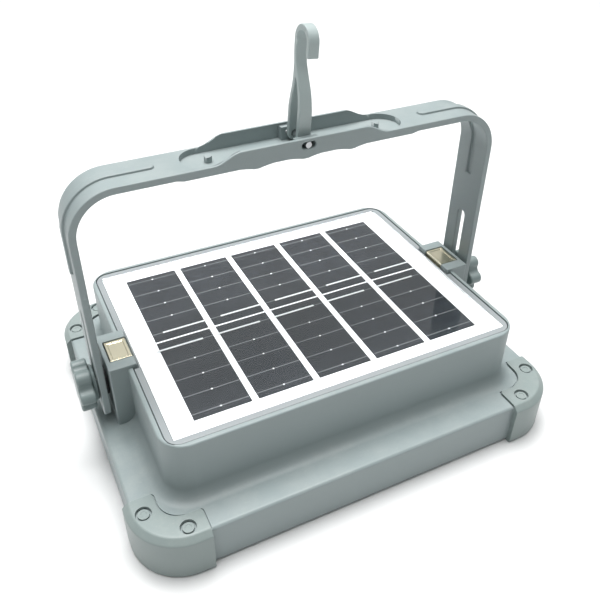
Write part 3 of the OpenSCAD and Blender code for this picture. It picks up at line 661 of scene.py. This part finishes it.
GREY = (0.274, 0.325, 0.328)
materials = {
    # The housing's edges are painted much paler: a painted highlight along them, with some wear.
    "housing_plastic": plastic("housing_plastic", GREY, 0.42, edge_wear_and_highlight=0.6, pale=1.5),
    "bumper_plastic": plastic("bumper_plastic", (0.246, 0.296, 0.289), 0.40, depth=0.000012),
    "handle_plastic": plastic("handle_plastic", (0.280, 0.330, 0.333), 0.42, depth=0.000012),
    "hook_plastic": plastic("hook_plastic", (0.395, 0.460, 0.456), 0.38, depth=0.00001),
    "knob_plastic": plastic("knob_plastic", (0.222, 0.276, 0.274), 0.40),
    "bezel_plastic": plastic("bezel_plastic", (0.30, 0.325, 0.335), 0.36, depth=0.00001, dusty=0.05),
    "dark_plastic": plastic("dark_plastic", (0.035, 0.038, 0.042), 0.5, pale=2.0),
    "black_plastic": plastic("black_plastic", (0.02, 0.02, 0.022), 0.45, pale=2.0),
    "white_plastic": plastic("white_plastic", (0.82, 0.83, 0.83), 0.22,
                             pale=1.05, dusty=0.02, depth=0.000006),
    "black_rubber": plastic("black_rubber", (0.022, 0.022, 0.023), 0.68,
                            depth=0.00004, pale=2.2, level=0.35),
    "light_pipe": plastic("light_pipe", (0.7, 0.76, 0.73), 0.3, pale=1.1),
    "red_lead": plastic("red_lead", (0.5, 0.02, 0.02), 0.5),
    "white_lead": plastic("white_lead", (0.75, 0.75, 0.74), 0.5, pale=1.1),
    "button_orange": plastic("button_orange", (0.68, 0.16, 0.025), 0.55, pale=1.25, depth=0.00003),
    "battery_wrap": plastic("battery_wrap", (0.06, 0.2, 0.5), 0.25, depth=0.000008),
    "circuit_green": plastic("circuit_green", (0.012, 0.13, 0.05), 0.3, mottle=0.25, grain_size=900.0),
    "board_aluminium": plastic("board_aluminium", (0.8, 0.81, 0.8), 0.3, pale=1.05, dusty=0.02),
    "tinned_ribbon": metal("tinned_ribbon", (0.92, 0.93, 0.93), 0.45, tarnish=0.04, metallic=0.1),
    "steel": metal("steel", (0.5, 0.51, 0.52), 0.34, brushed=0.3),
    "magnet_metal": metal("magnet_metal", (0.42, 0.42, 0.44), 0.24),
    "gold_plating": metal("gold_plating", (0.93, 0.86, 0.66), 0.2, tarnish=0.08, scratch=0.15),
    "brass": metal("brass", (0.8, 0.6, 0.28), 0.3, tarnish=0.3),
    "clear_lens": pane("clear_lens", (0.97, 0.98, 0.99), 0.03),
    "clear_cover": pane("clear_cover", (0.98, 0.985, 0.99), 0.01, 1.40),
    "silicon": silicon_cells(),
    "white_sheet": white_laminate(),
    "led_yellow": phosphor(),
}

# ---------- housing ----------

BASE_X, BASE_Y, BASE_LOW, BASE_TOP, BASE_R = 117.0, 93.5, 1.2, 25.9, 24.0
BOX_X, BOX_Y, BOX_TOP, BOX_R = 98.6, 74.0, 61.5, 13.0
WALL, RIM = 2.4, 2.3
COVE = 6.8
DECK, DECK_T = 58.9, 2.2
RECESS_R = 7.5
PIVOT_Z = 47.0
PILLAR_IN, PILLAR_OUT, PILLAR_Y, PILLAR_TOP = 93.8, 108.0, 14.6, 63.7
CUP_X, CUP_LOW, CUP_HALF_X, CUP_HALF_Y = 99.8, 58.1, 6.15, 8.35
NUT_X, NUT_R, NUT_DEPTH = 99.0, 4.03, 12
# Holes in the back wall of the box
BACK_Y, BACK_DEPTH = 70, 6
CONTROLS_Z = 44.6
BUTTON_X, BUTTON_R = 58, 6.3
LAMPS, LAMP_X, LAMP_STEP, LAMP_R = 4, 70, 5, 1.25
SOCKET_LOW = 39.5
SOCKETS = (
    # name, left, right, top
    ("socket_a", 1, 14.2, 46.6),
    ("socket_c", 19.5, 28.9, 43.1),
)
LEAD_AT, LEAD_R, LEAD_DEPTH = (6, 30, 55), 3, 6


def base_block(name):
    """The broad base with its rounded top and bottom edges."""
    base = slab(name, BASE_X, BASE_Y, BASE_LOW, BASE_TOP, BASE_R, 18)
    soften(base, 1.7, 4, level_at(BASE_TOP))
    return soften(base, 0.7, 2, level_at(BASE_LOW))


def near_box(point):
    return abs(point.x) < BOX_X + 0.1 and abs(point.y) < BOX_Y + 0.1


def on_outer_rim(point):
    """On the outside of the box's rim, along a side or round a corner."""
    along_x, along_y = abs(point.x), abs(point.y)
    from_corner = Vector((along_x - BOX_X + BOX_R, along_y - BOX_Y + BOX_R))
    return along_x > BOX_X - 0.2 or along_y > BOX_Y - 0.2 or (
        from_corner.length > BOX_R - 0.2
        and along_x > BOX_X - BOX_R
        and along_y > BOX_Y - BOX_R
    )


def round_rim(shell):
    """Rounds the box's rim, more on the outside than round the panel."""
    at_rim = level_at(BOX_TOP)
    soften(shell, 1.5, 5, lambda a, b, e: at_rim(a, b, e) and on_outer_rim(a) and on_outer_rim(b))
    soften(shell, 0.45, 2, at_rim)


def hollow(shell):
    """The room in the base and the room in the box above it."""
    low = BASE_TOP - WALL
    base_room = slab("base_room", BASE_X - WALL, BASE_Y - WALL, -2, low, BASE_R - WALL, 12)
    join(shell, base_room, "DIFFERENCE")
    box_room = slab("box_room", BOX_X - RIM, BOX_Y - RIM, low - 1, DECK - DECK_T, BOX_R - RIM, 8)
    join(shell, box_room, "DIFFERENCE")


def add_pillars(shell):
    """The side pillars, with the pockets for the magnet cups and the nuts."""
    for side in (-1, 1):
        x = sorted((side * PILLAR_IN, side * PILLAR_OUT))
        pillar = block("pillar", (x[0], -PILLAR_Y, BASE_TOP - WALL), (x[1], PILLAR_Y, PILLAR_TOP))
        soften(pillar, 0.9, 3, lambda a, b, e: upright(a, b, e) and a.x * side > 100)
        soften(pillar, 0.55, 3, level_at(PILLAR_TOP))
        join(shell, pillar, "UNION")
    for side in (-1, 1):
        middle = side * CUP_X
        pocket = block("pocket", (middle - CUP_HALF_X, -CUP_HALF_Y, CUP_LOW),
                       (middle + CUP_HALF_X, CUP_HALF_Y, 70))
        soften(pocket, 0.6, 2, upright)
        join(shell, pocket, "DIFFERENCE")
        join(shell, rod("nut_pocket", NUT_R, (side * NUT_X, 0, PIVOT_Z), side * NUT_DEPTH, "x"), "DIFFERENCE")


def cut_back_wall(shell):
    """The holes for the button, the charge lights and the sockets."""
    join(shell, rod("button_hole", BUTTON_R, (BUTTON_X, BACK_Y, CONTROLS_Z), BACK_DEPTH, "y"), "DIFFERENCE")
    for i in range(LAMPS):
        start = (LAMP_X + LAMP_STEP * i, BACK_Y, CONTROLS_Z)
        join(shell, rod("lamp_hole", LAMP_R, start, BACK_DEPTH, "y", 24), "DIFFERENCE")
    for name, left, right, top in SOCKETS:
        opening = block(name, (left, BACK_Y, SOCKET_LOW), (right, BACK_Y + BACK_DEPTH, top))
        join(shell, opening, "DIFFERENCE")


def make_housing():
    """The base, the box on it and the pillars beside it, as one shell."""
    shell = base_block("housing_shell")
    join(shell, slab("box", BOX_X, BOX_Y, 15, BOX_TOP, BOX_R, 14), "UNION")
    at_foot = level_at(BASE_TOP, 60)
    soften(shell, COVE, 8, lambda a, b, e: at_foot(a, b, e) and near_box(a) and near_box(b))
    recess = slab("panel_recess", BOX_X - RIM, BOX_Y - RIM, DECK, BOX_TOP + 10, RECESS_R, 8)
    join(shell, recess, "DIFFERENCE")
    round_rim(shell)
    hollow(shell)
    add_pillars(shell)
    cut_back_wall(shell)
    join(shell, rod("lead_hole", LEAD_R, LEAD_AT, LEAD_DEPTH), "DIFFERENCE")
    return tidy_faces(shell, 0.2)


# ---------- bumpers ----------

GUARD_TOP = 26.9
GUARD_T = 2.8
SCREW_PLACES = ((111.8, 73.0), (95.5, 88.3))
DIMPLE_R, DIMPLE_DEPTH = 3.8, 0.4
PLUG_R, PLUG_T, DISH_R = 2.75, 0.75, 1.5
# Where a bumper's inner sides run, and how far its arms reach
ARM_X, ARM_Y = 86.5, 64
INNER_X, INNER_Y, INNER_R = 105, 81.5, 11
BEYOND = (130, 110, 40)
GROOVE, GROOVE_DEPTH = 0.6, 0.9
GUARD_X, GUARD_Y = BASE_X + GUARD_T, BASE_Y + GUARD_T


def guard_region(grown, low):
    """The corner that a bumper covers, grown by a gap, from a height up."""
    region = block("region", (ARM_X - grown, ARM_Y - grown, low), BEYOND)
    inside = block("inside", (20, 20, low - 1), (INNER_X - grown, INNER_Y - grown, BEYOND[2] + 1))
    soften(inside, INNER_R + grown, 12, lambda a, b, e: upright(a, b, e) and a.x > 100 and a.y > 80 - grown)
    join(region, inside, "DIFFERENCE")
    return soften(region, 1.6, 3, lambda a, b, e: upright(a, b, e) and bend(e) > math.radians(60)
                  and a.x < 106 and a.y < 82.5)


def make_guard():
    """The back right bumper: a cap over the corner with two plugged screw holes."""
    guard = slab("corner_guard", GUARD_X, GUARD_Y, 0, GUARD_TOP, BASE_R + GUARD_T, 20)
    soften(guard, 3.0, 1, level_at(GUARD_TOP))
    soften(guard, 0.7, 3, lambda a, b, e: bend(e) > math.radians(25) and not upright(a, b, e)
           and min(a.z, b.z) > 15)
    soften(guard, 1.6, 3, level_at(0))
    join(guard, guard_region(0, -5), "INTERSECT")
    join(guard, base_block("base_room"), "DIFFERENCE")
    for x, y in SCREW_PLACES:
        dimple = rod("dimple", DIMPLE_R, (x, y, BASE_TOP - DIMPLE_DEPTH), 4)
        join(guard, soften(dimple, 0.7, 2, level_at(BASE_TOP - DIMPLE_DEPTH)), "DIFFERENCE")
    tidy_faces(guard, 0.2)
    return soften(guard, 0.22, 2, level_at(GUARD_TOP, 40), clamp=False)


def make_plug(x, y):
    """A dished plug over one screw."""
    plug = rod("screw_plug", PLUG_R, (x, y, BASE_TOP - 0.3), PLUG_T, sides=40)
    join(plug, rod("dish", DISH_R, (x, y, BASE_TOP + 0.2), 2, sides=32), "DIFFERENCE")
    return soften(plug, 0.16, 2, lambda a, b, e: bend(e) > math.radians(40) and min(a.z, b.z) > BASE_TOP)


def cut_grooves(shell):
    """A fine gap in the ledge round each bumper."""
    for flip_x in (False, True):
        for flip_y in (False, True):
            tool = guard_region(GROOVE, BASE_TOP - GROOVE_DEPTH)
            if flip_x or flip_y:
                corner = twin(tool, "groove", (flip_x, flip_y, False))
                bpy.data.objects.remove(tool)
                tool = corner
            join(shell, tool, "DIFFERENCE")
    return tidy_faces(shell, 0.2)


housing = cut_grooves(make_housing())
finish_piece(housing, materials["housing_plastic"], "light", "housing_plastic", "rear_housing")
guard = make_guard()
plugs = [make_plug(x, y) for x, y in SCREW_PLACES]
CORNERS = {
    "back_right": (False, False),
    "back_left": (True, False),
    "front_right": (False, True),
    "front_left": (True, True),
}
all_plugs = []
for corner, (flip_x, flip_y) in CORNERS.items():
    piece = twin(guard, "guard_" + corner, (flip_x, flip_y, False))
    finish_piece(piece, materials["bumper_plastic"], "light", "bumper_plastic", "bumper_" + corner)
    all_plugs += [twin(p, "plug", (flip_x, flip_y, False)) for p in plugs]
for spare in [guard, *plugs]:
    bpy.data.objects.remove(spare)
bpy.ops.object.select_all(action="DESELECT")
for p in all_plugs:
    p.select_set(True)
bpy.context.view_layer.objects.active = all_plugs[0]
bpy.ops.object.join()
all_plugs[0].name = "screw_plugs"
finish_piece(all_plugs[0], materials["bumper_plastic"], "light", "bumper_plastic", "bumper_screws")

# ---------- pieces taken from the CAD with rounded edges ----------

ROUNDED = [
    # node, piece, radius, steps, body
    ("panel_bezel", "bezel_frame", 0.45, 3, "light"),
    ("front_frame", "lens_frame", 0.5, 2, "light"),
    ("magnet_cup_left", "gold_cup_left", 0.22, 3, "light"),
    ("magnet_cup_right", "gold_cup_right", 0.22, 3, "light"),
    ("hook_pin", "hook_axle_pin", 0.2, 2, "hook_axle"),
    ("knob_left", "star_knob_left", 1.1, 4, "left_knob"),
    ("knob_right", "star_knob_right", 1.1, 4, "right_knob"),
    ("knob_bolt_left", "knob_bolt_end_left", 0.15, 2, "left_knob"),
    ("knob_bolt_right", "knob_bolt_end_right", 0.15, 2, "right_knob"),
    ("pivot_bush_left", "bush_left", 0.2, 2, "pivot_bushes"),
    ("pivot_bush_right", "bush_right", 0.2, 2, "pivot_bushes"),
    ("power_button", "button_cap", 0.4, 3, "button"),
    ("port_cover", "socket_flap", 0.35, 2, "port_flap"),
]
slot_of = {part["node"]: part["material_slot"] for part in frame["record"]["subparts"]}
for node, name, radius, steps, body in ROUNDED:
    piece = softened(node, name, radius, steps)
    finish_piece(piece, materials[slot_of[node]], body, slot_of[node], node)

# Heights on the bail
STRAP_TOP, WALL_TOP, POST_TOP, CUSP_LOW = 159.8, 164.4, 162.8, 153.9
CUSP_CUT = 0.35
TROUGH_X, TROUGH_Y, TROUGH_DEPTH = 60, 10.5, 3.2


def in_trough(point):
    within = abs(point.x) < TROUGH_X and abs(point.y) < TROUGH_Y
    return within and point.z > STRAP_TOP - TROUGH_DEPTH


def make_bail():
    """The bail with rounded edges; the trough's thin walls and its posts get finer ones."""
    bail = from_cad("handle", "bail")
    cusps = block("cusp_cut", (-60, -20, CUSP_LOW - 2), (60, 20, CUSP_LOW + CUSP_CUT))
    join(bail, cusps, "DIFFERENCE")
    soften(bail, 0.55, 3, lambda a, b, e: worth_rounding(a, b, e) and not (in_trough(a) and in_trough(b)),
           clamp=False)
    on_wall = level_at(WALL_TOP)
    soften(bail, 0.35, 2, lambda a, b, e: on_wall(a, b, e) and in_trough(a) and in_trough(b))
    return soften(bail, 0.6, 3, level_at(POST_TOP))


finish_piece(make_bail(), materials["handle_plastic"], "bail", "handle_plastic", "handle")

# The hook stands on its pin and leans over a little
PIN_X, PIN_Z, CURL_Z = 1.5, 160.9, 206.6
HOOK_LEAN = math.radians(3.4)
TIP_NARROWING = 0.24


def make_hook():
    """The hook with rounded edges, its strip narrowing from the legs to the curl."""
    hook = softened("hook", "hook_strip", 0.55, 3)
    for vertex in hook.data.vertices:
        rise = vertex.co.z / MM - PIN_Z
        part = min(max(rise / (CURL_Z - PIN_Z), 0), 1)
        middle = (PIN_X + rise * math.tan(HOOK_LEAN)) * MM
        keep = 1 - TIP_NARROWING * part * part * (3 - 2 * part)
        vertex.co.x = middle + (vertex.co.x - middle) * keep
    return hook


finish_piece(make_hook(), materials["hook_plastic"], "hanging_hook", "hook_plastic", "hook")

# ---------- CAD nodes that stay, with finished materials ----------

for name, node in nodes.items():
    for i in range(len(node.data.materials)):
        node.data.materials[i] = materials[slot_of[name]]

# ---------- stage ----------


FLOOR_SIZE = 12
FLOOR_DARK, FLOOR_PALE = 0.77, 0.79


def make_floor():
    """A plain pale floor, faintly uneven in tone."""
    bpy.ops.object.select_all(action="DESELECT")
    bpy.ops.mesh.primitive_plane_add(size=FLOOR_SIZE, location=(0, 0, 0))
    floor = bpy.context.object
    floor.name = "floor"
    material, n, surface = new_material("pale_floor")
    drift = n.band(n.noise(n.place(), 3.0), 0.3, 0.7)
    dark, pale = ([level] * 3 + [1] for level in (FLOOR_DARK, FLOOR_PALE))
    n.put(surface.inputs["Base Color"], n.mix(drift, dark, pale))
    surface.inputs["Roughness"].default_value = 0.6
    floor.data.materials.append(material)


make_floor()
